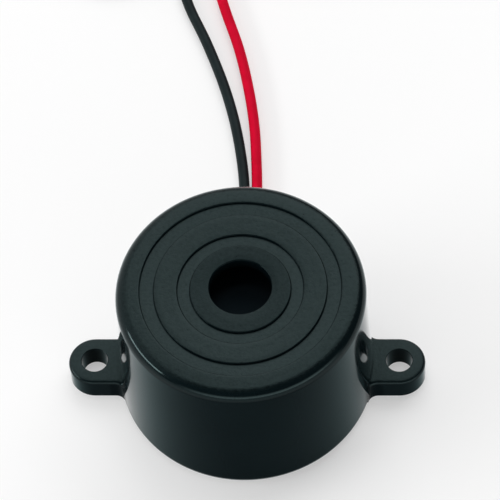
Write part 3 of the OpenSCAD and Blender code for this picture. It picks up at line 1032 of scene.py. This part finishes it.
# The board's glass cloth and the mesh of the silver's printing screen
clothLook = {
    "boardLaminate": {
        "fixed": {},
        "shades": ((0.34, 0.20, 0.07), (0.44, 0.28, 0.11)),
        "rough": (0.4, 0.55),
        "patch": 0.7,
        "grain": 7,
        "depth": 0.006,
        "pitch": 0.7,
        "threadShade": 0.08,
        "threadHeight": 0.5,
    },
    "firedSilver": {
        "fixed": {"Metallic": 1},
        "shades": ((0.68, 0.68, 0.66), (0.82, 0.82, 0.80)),
        "rough": (0.4, 0.55),
        "patch": 0.5,
        "grain": 14,
        "depth": 0.006,
        "pitch": 0.22,
        "threadShade": 0,
        "threadHeight": 0.6,
    },
}


def threaded(name, look):
    finish = Finish(name, look["fixed"])
    threads = finish.weave(look["pitch"])
    grain = finish.grain(look["grain"])
    colour = finish.mix(finish.patches(look["patch"], threads * look["threadShade"]), *look["shades"])
    height = threads * look["threadHeight"] + grain
    return finish.finishWith(colour, finish.gloss(grain, look["rough"]), height, look["depth"])


# Soft patches from one shade to the other, with a fine grain in gloss and height
mottledLook = {
    "silicone": {
        "shades": ((0.62, 0.62, 0.58), (0.72, 0.72, 0.68)), "rough": (0.35, 0.5),
        "patch": 0.8, "grain": 6, "depth": 0.01,
    },
    "sealant": {
        "shades": ((0.02, 0.022, 0.022), (0.03, 0.033, 0.033)), "rough": (0.3, 0.5),
        "patch": 0.9, "grain": 3, "depth": 0.05,
    },
    "ceramic": {
        "shades": ((0.66, 0.61, 0.50), (0.74, 0.69, 0.57)), "rough": (0.6, 0.75),
        "patch": 0.6, "grain": 12, "depth": 0.004,
    },
    "solder": {
        "shades": ((0.60, 0.61, 0.63), (0.74, 0.75, 0.77)), "rough": (0.18, 0.35),
        "patch": 2.2, "grain": 5, "depth": 0.02, "fixed": {"Metallic": 1},
    },
    "tinnedWire": {
        "shades": ((0.64, 0.65, 0.67), (0.76, 0.77, 0.79)), "rough": (0.2, 0.36),
        "patch": 2.5, "grain": 12, "depth": 0.006, "fixed": {"Metallic": 1},
    },
    "copperFoil": {
        "shades": ((0.55, 0.25, 0.12), (0.74, 0.37, 0.20)), "rough": (0.22, 0.4),
        "patch": 0.6, "grain": 10, "depth": 0.003, "fixed": {"Metallic": 1},
    },
    "ferrite": {
        "shades": ((0.045, 0.045, 0.05), (0.07, 0.07, 0.075)), "rough": (0.55, 0.8),
        "patch": 1.4, "grain": 9, "depth": 0.02,
    },
    "epoxyCase": {
        "shades": ((0.024, 0.024, 0.027), (0.032, 0.032, 0.036)), "rough": (0.4, 0.6),
        "patch": 1.2, "grain": 11, "depth": 0.01,
    },
    "capacitorCoat": {
        "shades": ((0.58, 0.28, 0.05), (0.70, 0.36, 0.08)), "rough": (0.2, 0.34),
        "patch": 1, "grain": 5, "depth": 0.03,
    },
    "linkYellow": {
        "shades": ((0.56, 0.50, 0.06), (0.65, 0.60, 0.08)), "rough": (0.35, 0.5),
        "patch": 1.5, "grain": 9, "depth": 0.005,
    },
    "linkBlue": {
        "shades": ((0.04, 0.12, 0.40), (0.05, 0.16, 0.50)), "rough": (0.35, 0.5),
        "patch": 1.5, "grain": 9, "depth": 0.005,
    },
    "linkBlack": {
        "shades": ((0.015, 0.017, 0.018), (0.022, 0.024, 0.026)), "rough": (0.35, 0.5),
        "patch": 1.5, "grain": 9, "depth": 0.005,
    },
    "redInsulation": {
        "shades": ((0.54, 0.0008, 0.021), (0.60, 0.001, 0.026)), "rough": (0.5, 0.6),
        "patch": 0.5, "grain": 9, "depth": 0.006, "fixed": {"IOR": 1.12},
    },
    "blackInsulation": {
        "shades": ((0.006, 0.012, 0.013), (0.008, 0.0155, 0.0165)), "rough": (0.4, 0.5),
        "patch": 0.5, "grain": 9, "depth": 0.006, "fixed": {"IOR": 1.18},
    },
    "tiePaper": {
        "shades": ((0.76, 0.73, 0.66), (0.84, 0.82, 0.76)), "rough": (0.75, 0.9),
        "patch": 1.2, "grain": 8, "depth": 0.02,
    },
}


def mottled(name, look):
    finish = Finish(name, look.get("fixed"))
    grain = finish.grain(look["grain"])
    colour = finish.mix(finish.patches(look["patch"]), *look["shades"])
    return finish.finishWith(colour, finish.gloss(grain, look["rough"]), grain, look["depth"])


plain = {name: mottled(name, look) for name, look in mottledLook.items()}
cloth = {name: threaded(name, look) for name, look in clothLook.items()}
finishes = {
    "housing_plastic": housingPlastic(plasticLook),
    "silicone": plain["silicone"],
    "sealant": plain["sealant"],
    "brass_sheet": brassSheet(brassLook),
    "ceramic": plain["ceramic"],
    "silver_layer": cloth["firedSilver"],
    "solder": plain["solder"],
    "tinned_wire": plain["tinnedWire"],
    "copper": plain["copperFoil"],
    "enamelled_copper": enamelledCopper(windingLook),
    "ferrite": plain["ferrite"],
    "board_laminate": cloth["boardLaminate"],
    "epoxy_case": plain["epoxyCase"],
    "resistor_coat": resistorCoat(resistorLook),
    "diode_glass": diodeGlass(diodeLook),
    "capacitor_coat": plain["capacitorCoat"],
    "link_yellow": plain["linkYellow"],
    "link_blue": plain["linkBlue"],
    "link_black": plain["linkBlack"],
    "red_insulation": plain["redInsulation"],
    "black_insulation": plain["blackInsulation"],
    "tie_paper": plain["tiePaper"],
}

for part in frame["record"]["subparts"]:
    mesh = nodes[part["node"]].data
    mesh.materials.clear()
    mesh.materials.append(finishes[part["material_slot"]])
housing.data.materials.append(finishes["housing_plastic"])
for colour, (lead, strands, tie) in leadPieces.items():
    lead.data.materials.append(finishes[f"{colour}_insulation"])
    strands.data.materials.append(finishes["tinned_wire"])
    tie.data.materials.append(finishes["tie_paper"])
print("finishes given")
